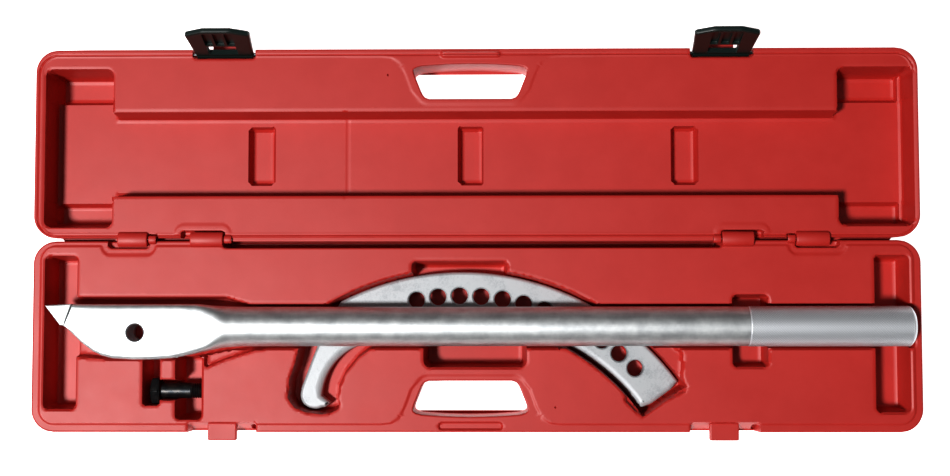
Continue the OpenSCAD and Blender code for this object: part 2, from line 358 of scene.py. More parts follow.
def block(shell, low, high, soft=0.6):
    """A box with softened edges: each height's ring is a rounded rectangle, drawn in at both ends."""
    low, high = np.array(low, float), np.array(high, float)
    centre, half = (low + high) / 2, (high - low) / 2
    corner = circle(24)
    square = np.sign(corner) * np.abs(corner) ** 0.12
    rings = []
    rise = ((0, soft + 0.4), (0, soft), (soft * 0.3, soft * 0.3), (soft, 0))
    for z, back in [(low[2] + up, b) for up, b in rise] + [(high[2] - up, b) for up, b in rise[::-1]]:
        plan = centre[:2] + square * (half[:2] - back)
        rings.append(np.column_stack([plan, np.full(24, z)]))
    shell.loft(rings)


def inward(loop):
    """Inward normals of a closed counter-clockwise loop, scaled up at corners to keep the offset even."""
    ahead = np.roll(loop, -1, 0) - loop
    ahead /= np.maximum(np.linalg.norm(ahead, axis=1), 1e-9)[:, None]
    behind = np.roll(ahead, 1, 0)
    n1 = np.column_stack([-ahead[:, 1], ahead[:, 0]])
    n0 = np.column_stack([-behind[:, 1], behind[:, 0]])
    both = n0 + n1
    return both / np.maximum(1.0 + np.sum(n0 * n1, 1), 0.35)[:, None]


def along(points, step):
    """An open polyline with points about step apart, without its last point."""
    out = []
    for a, b in zip(points, points[1:]):
        n = max(1, int(round(np.linalg.norm(b - a) / step)))
        out.append(a + (b - a) * (np.arange(n) / n)[:, None])
    return np.concatenate(out)


def resample(points, step):
    """A closed polyline with points about step apart, its own corners kept."""
    out = []
    for a, b in zip(points, np.roll(points, -1, 0)):
        n = max(1, int(round(np.linalg.norm(b - a) / step)))
        out.append(a + (b - a) * (np.arange(n) / n)[:, None])
    return np.concatenate(out)


def prism(shell, outline, rings, weight=None):
    """Walls over a counter-clockwise outline: rings drawn in by an inset, at a height; both ends are flat."""
    normal = inward(outline) * (1.0 if weight is None else weight[:, None])
    loops = [
        shell.add(np.column_stack([outline + normal * inset, np.full(len(outline), z)]))
        for inset, z in rings
    ]
    for a, b in zip(loops, loops[1:]):
        shell.strip(a, b)
    shell.fill([loops[0]], flip=True)
    shell.fill([loops[-1]])


# ---------------------------------------------------------------- plans as signed distances


def box_plan(x0, x1, y0, y1, r=4.0):
    """Signed distance to a rounded rectangle: distance beyond its inner rectangle, less the corner radius."""

    def sdf(x, y):
        qx = np.abs(x - (x0 + x1) / 2) - ((x1 - x0) / 2 - r)
        qy = np.abs(y - (y0 + y1) / 2) - ((y1 - y0) / 2 - r)
        return np.hypot(np.maximum(qx, 0), np.maximum(qy, 0)) + np.minimum(np.maximum(qx, qy), 0) - r

    return sdf, (x0, x1, y0, y1)


def poly_plan(points, r=4.0):
    """Signed distance to a polygon with rounded corners: that to the polygon drawn in by r, less r."""
    p = np.array(points, float)
    if np.sum(p[:, 0] * np.roll(p[:, 1], -1) - np.roll(p[:, 0], -1) * p[:, 1]) < 0:
        p = p[::-1]
    q = p + inward(p) * r
    ends = np.roll(q, -1, 0)

    def sdf(x, y):
        best = np.full(x.shape, 1e9)
        inside = np.zeros(x.shape, bool)
        for (ax, ay), (bx, by) in zip(q, ends):
            dx, dy = bx - ax, by - ay
            t = np.clip(((x - ax) * dx + (y - ay) * dy) / (dx * dx + dy * dy), 0, 1)
            best = np.minimum(best, np.hypot(x - ax - t * dx, y - ay - t * dy))
            if dy != 0:
                inside ^= ((ay > y) != (by > y)) & (x < dx * (y - ay) / dy + ax)
        return np.where(inside, -best, best) - r

    return sdf, (p[:, 0].min(), p[:, 0].max(), p[:, 1].min(), p[:, 1].max())


def ring_plan(centre, r0, r1, a0, a1):
    """Signed distance to a ring sector, its ends in degrees right of +Y: larger of those to band and ends."""

    def sdf(x, y):
        u, v = x - centre[0], y - centre[1]
        turn = np.degrees(np.arctan2(u, v))
        band = np.abs(np.hypot(u, v) - (r0 + r1) / 2) - (r1 - r0) / 2
        return np.maximum(band, np.radians(np.maximum(a0 - turn, turn - a1)) * r1)

    return sdf, (centre[0] - r1, centre[0] + r1, centre[1] + r0 * 0.5, centre[1] + r1)


def union(*plans):
    """The plans together: the least of their distances."""
    boxes = np.array([p[1] for p in plans])
    around = (boxes[:, 0].min(), boxes[:, 1].max(), boxes[:, 2].min(), boxes[:, 3].max())
    return (lambda x, y: np.minimum.reduce([p[0](x, y) for p in plans])), around


class Pocket:
    """A pocket of one depth, its wall leaning out by the draft, with arcs at the rim and at the floor."""

    def __init__(self, plan, deep, top=2.2, foot=3.2, draft=4.0, cap=None):
        self.sdf, self.around = plan
        self.deep, self.cap = deep, cap
        lean = math.radians(90 - draft)
        half = lean / 2
        top, foot = min(top, deep * 0.45), min(foot, deep * 0.45)
        a, b = top * math.tan(half), foot * math.tan(half)
        s = -deep * math.tan(math.radians(draft))
        self.line = np.array([
            (s - b, deep),
            (s - b + foot * math.sin(half), deep - foot * (1 - math.cos(half))),
            (s + b * math.cos(lean), deep - b * math.sin(lean)),
            (-a * math.cos(lean), a * math.sin(lean)),
            (a - top * math.sin(half), top * (1 - math.cos(half))),
            (a, 0.0),
        ])  # fmt: skip

    def near(self, x, y, extra=5.0):
        x0, x1, y0, y1 = self.around
        return (x > x0 - extra) & (x < x1 + extra) & (y > y0 - extra) & (y < y1 + extra)

    def depth(self, x, y):
        out = np.zeros(x.shape)
        m = self.near(x, y)
        out[m] = np.interp(self.sdf(x[m], y[m]), self.line[:, 0], self.line[:, 1])
        return out if self.cap is None else np.minimum(out, self.cap(x, y))


# the hand hole: distance from the hinge line, half width
HOLE = np.array([
    (122.2, 36.5), (122.8, 39.0), (124.1, 41.0), (126.3, 42.8), (129.5, 44.4),
    (144.6, 50.5), (148.0, 51.4), (150.5, 51.0), (152.5, 48.3), (153.9, 43.0),
])  # fmt: skip


def smooth(t):
    """0 below 0, 1 above 1, with level ends."""
    t = np.clip(t, 0, 1)
    return t * t * (3 - 2 * t)


def half_width(depth):
    """Half the hand hole's width at a distance from the hinge line, easing to 40 beyond its long edges."""
    inside = np.interp(depth, HOLE[:, 0], HOLE[:, 1])
    towards = smooth((HOLE[0, 0] - depth) / 9.0)
    beyond = smooth((depth - HOLE[-1, 0]) / 4.6)
    return inside * (1 - towards) * (1 - beyond) + 40.0 * (towards + beyond - towards * beyond)


def stations(stops, step, fine=(), fine_step=0.75):
    """Coordinates through all stops, step apart, or fine_step apart in the segments that fine names."""
    out = [np.array([stops[0]])]
    for k, (a, b) in enumerate(zip(stops, stops[1:])):
        n = max(1, int(round((b - a) / (fine_step if k in fine else step))))
        out.append(a + (b - a) * np.arange(1, n + 1) / n)
    return np.concatenate(out)


class CaseHalf:
    """One half of the case as a single closed skin.

    Seen from above, the top is a height over the plan: the rim, less the deepest of the pockets, plus the
    low or raised band round the edge. The grid is drawn in to meet the rounded corners and the hand hole, and
    points near a wall slide along the wall's distance until they stand on its edge lines. The sides are rings
    offset from the outline, and the underside is flat between the outline and the hole."""

    def __init__(self, side, pockets, band, edge_y, step):
        self.side, self.pockets, self.band = side, pockets, band
        self.edge_y = edge_y
        self.step = step

    def inner_land(self, x, y):
        """Signed distance to the land inside the edge band: a rounded rectangle less notches and surround."""
        near, free = self.edge_y
        s = box_plan(-CASE_X + free, CASE_X - free, near, FREE_Y - free, 13.0)[0](x, np.abs(y))
        for notch in notches(self.side):
            m = np.abs(x - (notch[0] + notch[1]) / 2) < 40
            s[m] = np.maximum(s[m], near + 0.6 - box_plan(*notch, 2.0)[0](x[m], np.abs(y[m])))
        m = (np.abs(x - HANDLE_X) < 130) & (np.abs(y) > 105)
        s[m] = np.maximum(s[m], -handle_surround(x[m] - HANDLE_X, np.abs(y[m])))
        return s

    def height(self, x, y):
        """Height above the underside: rim, band step, then the deepest pocket."""
        band = self.band * smooth((self.inner_land(x, y) + 0.7) / 1.4)
        deep = np.maximum.reduce([p.depth(x, y) for p in self.pockets])
        z = RIM + band * (1 - smooth(deep / 3.0)) - deep
        return z + self.extras(x, y)

    def extras(self, x, y):
        return 0.0

    def slide(self, x, y, fixed):
        """Moves points near each wall onto the nearest of its edge lines; deeper pockets go first."""
        taken = fixed.copy()
        reach = self.step * 0.56
        for p in sorted(self.pockets, key=lambda p: -p.deep):
            m = p.near(x, y, 4.0) & ~taken
            if not m.any():
                continue
            px, py = x[m], y[m]
            s = p.sdf(px, py)
            lines = p.line[:, 0]
            goal = lines[np.argmin(np.abs(s[:, None] - lines[None]), 1)]
            others = np.maximum.reduce([q.depth(px, py) for q in self.pockets if q is not p])
            shown = (np.abs(goal - s) < reach) & (others < p.deep - 1.0)
            if p.cap is not None:
                shown &= p.cap(px, py) > 0.5
            h = 0.04
            gx = (p.sdf(px + h, py) - p.sdf(px - h, py)) / (2 * h)
            gy = (p.sdf(px, py + h) - p.sdf(px, py - h)) / (2 * h)
            norm = np.maximum(gx * gx + gy * gy, 0.25)
            move = np.where(shown, goal - s, 0.0) / norm
            index = np.flatnonzero(m)
            x[index] += gx * move
            y[index] += gy * move
            taken[index[shown]] = True
        return x, y

    def build(self):
        """The closed skin, as a Shell."""
        side = self.side
        edge = 1.5
        hole_x = (HANDLE_X - 40.0, HANDLE_X + 40.0)
        x_stops = [-CASE_X + edge, -CASE_X + 10, *hole_x, CASE_X - 10, CASE_X - edge]
        if side > 0:
            x_stops.insert(2, -114.4)
        xs = stations(x_stops, self.step, fine=(0, len(x_stops) - 2))
        y_stops = [1.2 + edge, 9.6, HOLE[0, 0], HOLE[-1, 0], 158.8, FREE_Y - edge]
        depth = stations(y_stops, self.step, fine=(0, 4))
        ys = depth if side > 0 else -depth[::-1]
        gx, gy = np.meshgrid(xs, ys)
        away = np.abs(gy)
        # hand hole: columns spread with the hole's width, the outer edge bows
        w = half_width(away)
        t = gx - HANDLE_X
        beside = np.sign(t) * (w + (np.abs(t) - 40) * (75 - w) / 35)
        wide = np.where(np.abs(t) < 40, t * w / 40, beside)
        gx = np.where(np.abs(t) < 75, HANDLE_X + wide, gx)
        bow = 1.9 * np.clip(1 - ((gx - HANDLE_X) / 44) ** 2, 0, 1)
        away = away + bow * np.clip(1 - (away - HOLE[-1, 0]) / 4.9, 0, 1) * (away >= HOLE[-1, 0] - 1e-6)
        gy = side * away
        # rounded corners
        mid, deep, r = (1.2 + FREE_Y) / 2, (FREE_Y - 1.2) / 2 - edge, CORNER_R - edge
        lift = np.clip(np.abs(away - mid) - (deep - r), 0, r)
        reach = CASE_X - edge - r + np.sqrt(r * r - lift * lift)
        start = 330.0
        outer = np.abs(gx) > start
        squeezed = start + (np.abs(gx) - start) * (reach - start) / (CASE_X - edge - start)
        gx = np.where(outer, np.sign(gx) * squeezed, gx)

        rows, cols = gx.shape
        index = np.arange(rows * cols).reshape(rows, cols)
        i0, i1 = (int(np.argmin(np.abs(xs - v))) for v in hole_x)
        js = sorted(int(np.argmin(np.abs(ys - side * v))) for v in (HOLE[0, 0], HOLE[-1, 0]))
        outline = np.concatenate([index[0, :-1], index[:-1, -1], index[-1, :0:-1], index[:0:-1, 0]])
        near_row, far_row = js
        hole = np.concatenate([
            index[near_row, i0:i1], index[near_row:far_row, i1], index[far_row, i1:i0:-1], index[
                far_row:near_row:-1, i0,
            ],
        ])  # fmt: skip
        fixed = np.zeros(rows * cols, bool)
        fixed[outline] = True
        fixed[hole] = True
        x, y = self.slide(gx.ravel().copy(), gy.ravel().copy(), fixed)
        z = self.height(x, y)
        for vx, vy in self.vents():
            k = int(np.argmin(np.hypot(x - vx, y - vy)))
            x[k], y[k], z[k] = vx, vy, z[k] - 2.6

        shell = Shell()
        shell.add(np.column_stack([x, y, z]))
        quads = np.stack([index[:-1, :-1], index[:-1, 1:], index[1:, 1:], index[1:, :-1]], -1)
        keep = np.ones(quads.shape[:2], bool)
        keep[js[0] : js[1], i0:i1] = False
        quads = quads[keep]
        # cut each quad along the diagonal that bends less
        bend_a = np.abs(z[quads[:, 0]] - z[quads[:, 2]])
        bend_b = np.abs(z[quads[:, 1]] - z[quads[:, 3]])
        first = (bend_a <= bend_b)[:, None]
        lower = np.where(first, quads[:, [0, 1, 2]], quads[:, [0, 1, 3]])
        upper = np.where(first, quads[:, [0, 2, 3]], quads[:, [1, 2, 3]])
        shell.faces.append(np.concatenate([lower, upper]))

        wall = [(0.85, -0.3), (1.35, -0.85), (1.5, -1.7)]
        sides = [(1.5, 37.0), (1.1, 36.2), (1.1, 12.0), (0.6, 7.4), (-0.8, 3.4), (-3.4, 1.0), (-7.5, 0.0)]
        sides += [(-13.0, 0.0), (-14.6, 1.4)]
        last = self.hang(shell, outline, wall, sides)
        inner = [(0.85, -0.3), (1.2, -0.85), (1.3, -1.7)]
        grip = [(1.3, 24.0), (1.3, 18.0), (1.2, 3.0), (0.4, 0.8), (-1.2, 0.0), (-5.0, 0.0), (-6.4, 1.4)]
        floor = self.hang(shell, hole[::-1], inner, grip)
        shell.fill([last, floor], flip=True)
        return shell

    def hang(self, shell, loop, near, far):
        """Rings down from a loop of the top: near ones follow each point's height, far ones are level."""
        points = np.concatenate(shell.points)[loop]
        out = -inward(flat(points))
        length = np.maximum(np.linalg.norm(out, axis=1), 1e-9)
        out = out / length[:, None] * np.clip(length, 0.8, 1.3)[:, None]
        previous = loop
        for offset, z in near + far:
            level = points[:, 2] + z if (offset, z) in near else np.minimum(
                points[:, 2] - 1.9 - 0.02 * (42 - z), z,
            )
            ring = shell.add(np.column_stack([flat(points) + out * offset, level]))
            shell.strip(previous, ring)
            previous = ring
        return previous

    def vents(self):
        return ()


def notches(side):
    """The hinge notches of one half, as (x0, x1, y0, y1) with Y away from the hinge line."""
    own = 1 if side > 0 else 0
    out = []
    for x0, x1, inner, lid in HINGES:
        if lid != own:
            left, right = (8.5, 0.6) if inner > 0 else (0.6, 8.5)
            out.append((x0 - left, x1 + right, -6.0, 7.6))
    return out


def ear_rooms(side):
    """Room in one half for the other half's ears, open at the hinge line."""
    own = 1 if side > 0 else 0
    out = []
    for x0, x1, inner, lid in HINGES:
        if lid == own:
            a, b = (x1 + 0.1, x1 + 8.1) if inner > 0 else (x0 - 8.1, x0 - 0.1)
            low, high = (-8, 4.8) if side > 0 else (-4.8, 8)
            out.append(Pocket(box_plan(a, b, low, high, 1), 4.6, 0.5, 0.8, 2))
    return out


def handle_surround(x, away):
    """Signed distance to the handle's surround: it follows the hole and flares into the edge band."""
    points = [(0, 118.8), (38, 118.8), (41.6, 119.6), (44.1, 121.4), (51.7, 130.8), (57.3, 146), (61, 153)]
    points += [(63.5, 156.5), (69, 160), (78, 161), (110, 161), (110, 185), (0, 185)]
    return poly_plan(points + [(-px, py) for px, py in points[-2:0:-1]], 0.2)[0](x, away)


def hinge_half(shell, side):
    """The knuckles and ears of one half: bars along X, each a flattened eye with a web into the edge."""
    own = 1 if side > 0 else 0
    for x0, x1, inner, lid in HINGES:
        if lid == own:
            r, ends, root, foot = 6.9, (x0, x1), 7.2, 35.0
        else:
            r, root, foot = 3.7, 4.2, 38.6
            ends = (x1 + 0.7, x1 + 7.5) if inner > 0 else (x0 - 7.5, x0 - 0.7)
        t = np.radians(np.linspace(-62, 152, 22))
        crown = 4.2 if lid == own else 2.2
        reach = np.where(np.sin(t) > 0, crown, r)
        eye = np.column_stack([-np.cos(t) * r * 0.94, np.sin(t) * reach + HINGE_Z])
        web = np.array([(root, RIM - 0.6), (root, foot), (3.0, foot)])
        section = np.concatenate([eye * (-1, 1), web])
        section[:22, 0] *= -1
        middle = section.mean(0)
        rings = []
        first = [(ends[0] + into, back) for into, back in ((0, 0.9), (0.3, 0.3), (1.0, 0))]
        last = [(ends[1] - into, back) for into, back in ((1.0, 0), (0.3, 0.3), (0, 0.9))]
        for x, back in first + last:
            scaled = middle + (section - middle) * (1 - back / r)
            rings.append(np.column_stack([np.full(len(section), x), scaled[:, 0] * side, scaled[:, 1]]))
        shell.loft(rings)


def base_pockets():
    """Every pocket of the base half, with its depth below the rim."""
    channel = BAR_R - (BAR_Z - RIM) + 0.4
    arm_floor = RIM - (ARM_TOP - ARM_T - 0.3)
    hook = poly_plan(
        [
            (-87, -92), (-102, -103.5), (-113, -117), (-118.5, -129), (-119.5, -139), (-118, -147),
            (-126, -151), (-133, -152), (-146, -150.8), (-157, -146.5), (-163, -138.5), (-161.5, -121),
            (-157, -109), (-153, -92), (-146, -60), (-100, -60),
        ],
        3,
    )
    arc = ring_plan(ARM_CENTRE, 190.9, 237.3, -31, 55.4)
    crown = poly_plan([(-121, -60), (-55, -30.5), (28.4, -30.5), (102, -60)], 2)
    seat = [
        Pocket(
            box_plan(x - 29.6, x + 29.6, -180, -156, 2), 24, 1.2, 2, cap=lambda x,
            y: np.clip((-159.0 - y) * 20 / 8.3, 0, 24),
        )
        for x in LATCH_X
    ]
    rooms = [
        Pocket((box_plan(*n[:2], -n[3], 8, 2.5)[0], (n[0], n[1], -n[3], 8)), RIM - HINGE_Z + 7.6, 1.2, 1.0, 2)
        for n in notches(-1)
    ]
    return [
        Pocket(box_plan(-377, -349, -148, -14.6, 4), 30),
        Pocket(box_plan(347.6, 377, -150.7, -14.8, 4), 30),
        Pocket(box_plan(-350, 381.5, -95, -57, 3), channel),
        Pocket(
            poly_plan(
                [
                    (-352, -50.5), (-219, -50.5), (-197, -57), (-195, -95), (-222, -98.6), (-250, -104.3),
                    (-320, -104.3), (-352, -102),
                ],
                3,
            ),
            channel,
        ),
        Pocket(box_plan(224, 255, -111.5, -49, 4), 24),
        Pocket(
            poly_plan(
                [(-236, -100), (-236, -112), (-218, -104.5), (-191, -96.2), (-172, -92.4), (-195, -90)], 1.5,
            ),
            6,
        ),
        Pocket(box_plan(-55, 28.4, -45, -19.3, 4), 30),
        Pocket(box_plan(-44.5, 44.5, -111.8, -80, 6), 30),
        Pocket(union(arc, crown, hook), arm_floor),
        Pocket(ring_plan(ARM_CENTRE, 203.5, 223.5, -24, 51), 38, 1.0, 2.0),
        Pocket(
            poly_plan(
                [
                    (150, -92), (171, -92), (180.5, -100), (179.6, -119.1), (182.4, -132.6), (141.1, -151.7),
                    (130, -140),
                ],
                3,
            ),
            5,
        ),
        Pocket(box_plan(-290, -275.4, -144.5, -102, 2), 28),
        Pocket(box_plan(-277.9, -250, -140.1, -122.5, 1), 28),
        Pocket(box_plan(-261.4, -238.6, -156.7, -102, 3), 30),
        Pocket(box_plan(-31.8, 23.8, -165.8, -159.6, 2.9), 3.2, 1, 1),
        *[Pocket(box_plan(x + 24.4, x + 30, -167.6, -161, 1), 22, 0.8, 1) for x in LATCH_X],
        Pocket(box_plan(-220.6, 215.3, -7.6, 9, 2), 26, 1.4, 2),
        *seat,
        *rooms,
        *ear_rooms(-1),
    ]  # fmt: skip


def lid_pockets():
    """Every pocket of the lid half, with its depth below the rim."""
    seat = [Pocket(box_plan(x - 27, x + 27, 159.8, 190, 2), 14, 1.4, 1.5, 2) for x in LATCH_X]
    rooms = [
        Pocket((box_plan(*n[:2], -8, n[3], 2.5)[0], (n[0], n[1], -8, n[3])), RIM - HINGE_Z + 7.6, 1.2, 1.0, 2)
        for n in notches(1)
    ]
    corners = [
        Pocket(box_plan(x0, x1, y0, y1, 4), 36)
        for x0, x1 in ((-376, -321), (320, 380)) for y0, y1 in ((12.6, 34), (123, 149))
    ]
    floor = [Pocket(box_plan(x - 12.5, x + 12.5, 49.5, 104, 4), 38.5, 1.6, 2.4) for x in (-192, -3.5, 187.5)]
    return [
        Pocket(box_plan(-340, 340, 38.5, 112, 4), 28),
        Pocket(box_plan(-378.6, -319.5, 11.6, 150, 5), 28),
        Pocket(box_plan(317.8, 383, 12.5, 150, 5), 28),
        *corners,
        *floor,
        *seat,
        *rooms,
        *ear_rooms(1),
    ]


class BaseHalf(CaseHalf):
    def vents(self):
        return ((69.2, -146.6),)


class LidHalf(CaseHalf):
    def vents(self):
        return ((-76.4, 145.5),)

    def extras(self, x, y):
        """The joint line across the floor, the handle's key rib, and a groove along the foot of the lip."""
        joint = 0.45 * (np.abs(x + 114.4) < 0.2) * (y > 36) * (y < 113)
        rib = box_plan(-30, 22, 160.2, 165.2, 2.4)[0](x, y)
        edge = box_plan(-CASE_X + 3.6, CASE_X - 3.6, 3.6, FREE_Y - 5.2, 16.0)[0](x, y)
        groove = 0.9 * (1 - smooth(np.abs(edge) / 1.1))
        return 2.0 * smooth((1.0 - rib) / 2.4) - joint - groove


def bar_head():
    """Upper and lower edge of the forged head against X, from the bar's centre line."""
    upper = np.array(
        [(-353.1, 1.3), (-346.8, 19.4), (-240, 19.4), (-228, 18.2), (-212, 17.4), (-196, 17.1), (-180, 17.05)]
    )
    lower = np.array(
        [
            (-353.1, 0.9), (-338.5, -13.6), (-328.5, -21.3), (-321.5, -24.8), (-311.5, -27.4),
            (-294.5, -28.3), (-275, -28.1), (-261, -27.1), (-249.8, -24.9), (-236.8, -22.0), (-219.5, -18.4),
            (-205, -17.2), (-180, -17.05),
        ]
    )
    return upper, lower


def bar_shell(n=72):
    """The bar as one skin along X: each station is a superellipse |y/a|^n + |z/b|^n = 1 between the head's
    upper and lower edge, whose exponent falls from a slab's at the head to 2, a circle, on the shank."""
    upper, lower = bar_head()
    xs = np.unique(
        np.concatenate(
            [
                np.linspace(-353.0, -322, 34), np.linspace(-322, -256, 30), np.linspace(-256, -176, 60),
                np.linspace(-176, BAR_END - 142.1, 60), upper[:-1, 0] + 0.01, lower[1:-1, 0],
            ]
        )
    )
    t = circle(n)
    rings = []
    for x in xs:
        top, low = np.interp(x, upper[:, 0], upper[:, 1]), np.interp(x, lower[:, 0], lower[:, 1])
        blend = float(smooth((x + 256) / 44))
        power = 9.0 * (1 - blend) + 2.0 * blend if blend < 1 else 2.0
        high = 15.0 * (1 - blend) + 17.05 * blend - 1.1 * math.exp(-(((x + 238) / 9) ** 2))
        y = (top + low) / 2 + (top - low) / 2 * np.sign(t[:, 0]) * np.abs(t[:, 0]) ** (2 / power)
        z = high * np.sign(t[:, 1]) * np.abs(t[:, 1]) ** (2 / power)
        rings.append(np.column_stack([np.full(n, x), BAR_Y + y, BAR_Z + z]))
    shell = Shell()
    shell.loft(rings)
    return shell


def grip_shell(length=142.0, pitch=2.2, rise=0.45):
    """The rolled grip: a cylinder raised by a diamond lattice, whose height is the lesser of two triangle
    waves that run round and along it at opposite slants, fading at both chamfered ends."""
    end = BAR_END
    around = 50
    columns, steps = around * 4, int(length / pitch * 4)
    u = np.arange(columns) / columns
    s = np.linspace(0, length, steps)
    uu, ss = np.meshgrid(u, s)

    def wave(phase):
        return np.abs((phase % 1.0) * 2 - 1)

    lattice = np.minimum(wave(uu * around + ss / pitch), wave(uu * around - ss / pitch))
    fade = smooth(ss / 1.6) * smooth((length - 2.6 - ss) / 1.6)
    chamfer = np.clip(ss - (length - 3.2), 0, 3.2) ** 1.35 * 0.75 + np.clip(1.0 - ss, 0, 1) * 0.8
    radius = BAR_R - rise * (1 - lattice * 1.25).clip(0, 1) * fade - chamfer
    angle = uu * 2 * math.pi
    shell = Shell()
    rings = np.stack([end - length + ss, BAR_Y + radius * np.cos(angle), BAR_Z + radius * np.sin(angle)], -1)
    shell.loft(list(rings))
    return shell


def arm_outline():
    """The hook arm's outline, counter-clockwise: outer arc, hook, tooth, inner arc, with a weight for how
    wide its edge is rounded."""
    cx, cy = ARM_CENTRE

    def arc(r, a, b, n):
        t = np.radians(np.linspace(a, b, n))
        return np.column_stack([cx + r * np.sin(t), cy + r * np.cos(t)])

    outer = arc(234.7, 53.8, -27.2, 150)
    back = np.array(
        [
            (-122.6, -60.2), (-131, -76.4), (-139.3, -93.2), (-144, -105), (-148, -116), (-151.4, -125),
            (-153.6, -131),
        ]
    )
    t = np.radians(np.linspace(158, 300, 22))
    heel = np.array([(-141.4, -136.2)]) + 12.8 * np.column_stack([np.cos(t), np.sin(t)])
    tooth = np.array(
        [(-132.2, -147.2), (-128.7, -144.6), (-127.6, -143.0), (-129.6, -141.4), (-133.4, -138.4)]
    )
    t = np.radians(np.linspace(176.5, 110.5, 40))
    throat = np.array([(-85, -140)]) + 50.2 * np.column_stack([np.cos(t), np.sin(t)])
    inner = arc(194.3, -26.4, 53.6, 130)
    end = arc(204, 54.4, 54.4, 1), arc(225, 54.4, 54.4, 1)
    parts = [outer, along(np.vstack([back, heel[:1]]), 1.8), heel, tooth, throat, inner, end[0], end[1]]
    outline = np.vstack(parts)
    weight = np.concatenate(
        [np.full(len(p), w) for p, w in zip(parts, (0.45, 0.45, 0.5, 0.3, 1.0, 1.0, 0.45, 0.45))]
    )
    kernel = np.ones(9) / 9
    weight = np.convolve(np.concatenate([weight[-4:], weight, weight[:4]]), kernel, "valid")
    turned = np.sum(outline[:, 0] * np.roll(outline[:, 1], -1) - np.roll(outline[:, 0], -1) * outline[:, 1])
    return (outline, weight) if turned > 0 else (outline[::-1], weight[::-1])


def bolt_shell(n=96, pitch=2.0):
    """The pivot bolt along X: a hexagon cut by two cones, a plain shank with a fillet, then a rolled thread,
    whose radius is a triangle wave of x / pitch less the turn, so that it winds round as a helix."""
    x0, y0, z0 = BOLT
    turn = np.arange(n) / n * 2 * math.pi
    flats = 11.0 / np.cos((turn + math.pi / 6) % (math.pi / 3) - math.pi / 6)
    plain = np.ones(n)
    stations = [
        (-8.0, 9.4 * plain), (-7.75, np.minimum(flats, 10.4)), (-6.7, np.minimum(flats, 12.4)), (-6.3, flats),
        (-1.3, flats), (-0.7, np.minimum(flats, 12.2)), (-0.55, 10.6 * plain), (0.0, 10.5 * plain),
        (0.05, 7.8 * plain), (0.8, 7.0 * plain), (26.4, 7.0 * plain),
    ]
    for x in np.arange(26.8, 36.5, pitch / 8):
        wave = np.abs(((x / pitch - turn / (2 * math.pi)) % 1.0) * 2 - 1)
        grown = smooth((x - 26.8) / 1.5)
        stations.append((x, 7.0 - 1.15 * grown * (1 - wave).clip(0.06, 0.9)))
    stations += [(36.7, 6.0 * plain), (37.5, 5.1 * plain)]
    shell = Shell()
    shell.loft(
        [
            np.column_stack([np.full(n, x0 + x), y0 + r * np.cos(turn), z0 + r * np.sin(turn)])
            for x, r in stations
        ]
    )
    return shell


def latch_shells(x):
    """One latch's body and its cutter, turned up about the pivot: a bevelled plate with a round barrel along
    its hinge edge; the cutter holds the window and the three troughs between two ribs."""
    turn = math.radians(LATCH_TURN)
    body, tool = Shell(), Shell()
    outline = resample(
        np.array(
            [
                (-25.0, -1.0), (25, -1), (28.0, 37.5), (26.8, 39.4), (13.5, 44.4), (11.8, 45), (-11.8, 45),
                (-13.5, 44.4), (-26.8, 39.4), (-28.0, 37.5),
            ]
        ),
        3.0,
    )
    prism(body, outline, [(1.5, -2.5), (0.5, -2.2), (0, -1.4), (0, 0.9), (0.5, 1.9), (2.0, 2.5), (2.4, 2.5)])
    lathe_x(body, 0, 0, [(-25.0, 2.4), (-24.4, 3.2), (24.4, 3.2), (25.0, 2.4)], 32)
    block(tool, (-13, 5, -6), (13, 19.5, 6), 0.4)
    for a, b in ((-13, -6.2), (-3.8, 3.8), (6.2, 13)):
        block(tool, (a, 21.0, -0.4), (b, 41.5, 6), 0.4)
    place = np.array([x, FREE_Y - LATCH_IN, RIM - 3.5])
    matrix = np.array([[1, 0, 0], [0, math.cos(turn), -math.sin(turn)], [0, math.sin(turn), math.cos(turn)]])
    for shell in (body, tool):
        shell.points = [p @ matrix.T + place for p in shell.points]
    return body, tool


# ---------------------------------------------------------------- settings


def colour(name, words, value):
    return FloatVectorProperty(
        name=name, description=words, default=linear(value)[:3], min=0, max=1, subtype="COLOR",
    )


class CaseSettings(bpy.types.PropertyGroup):
    red: colour("Case colour", "Body colour of the moulded case", "#B82A22")
    roughness: FloatProperty(
        name="Case roughness", description="Roughness of the moulded surface", default=0.47, min=0.1, max=1,
    )
    grain: FloatProperty(
        name="Grain", description="Size of the moulded grain", default=0.0011, min=0.0003, max=0.01,
        unit="LENGTH",
    )
    step: FloatProperty(
        name="Grid step", description="Spacing of the skin's grid, in millimetres", default=1.5, min=1.2,
        max=6,
    )


class ToolSettings(bpy.types.PropertyGroup):
    bar_roughness: FloatProperty(
        name="Bar roughness", description="Roughness of the plated bar", default=0.5, min=0.05, max=1,
    )
    arm_roughness: FloatProperty(
        name="Arm roughness", description="Roughness of the painted hook arm", default=0.45, min=0.05, max=1,
    )
    knurl_pitch: FloatProperty(
        name="Knurl pitch", description="Distance between diamonds of the grip, in millimetres", default=2.2,
        min=1, max=4,
    )
    thread_pitch: FloatProperty(
        name="Thread pitch", description="Pitch of the bolt's thread, in millimetres", default=2.0, min=1,
        max=3,
    )
    chamfer: FloatProperty(
        name="Hole chamfer", description="Chamfer of the arm's and the head's holes, in millimetres",
        default=1.1, min=0.2, max=2,
    )


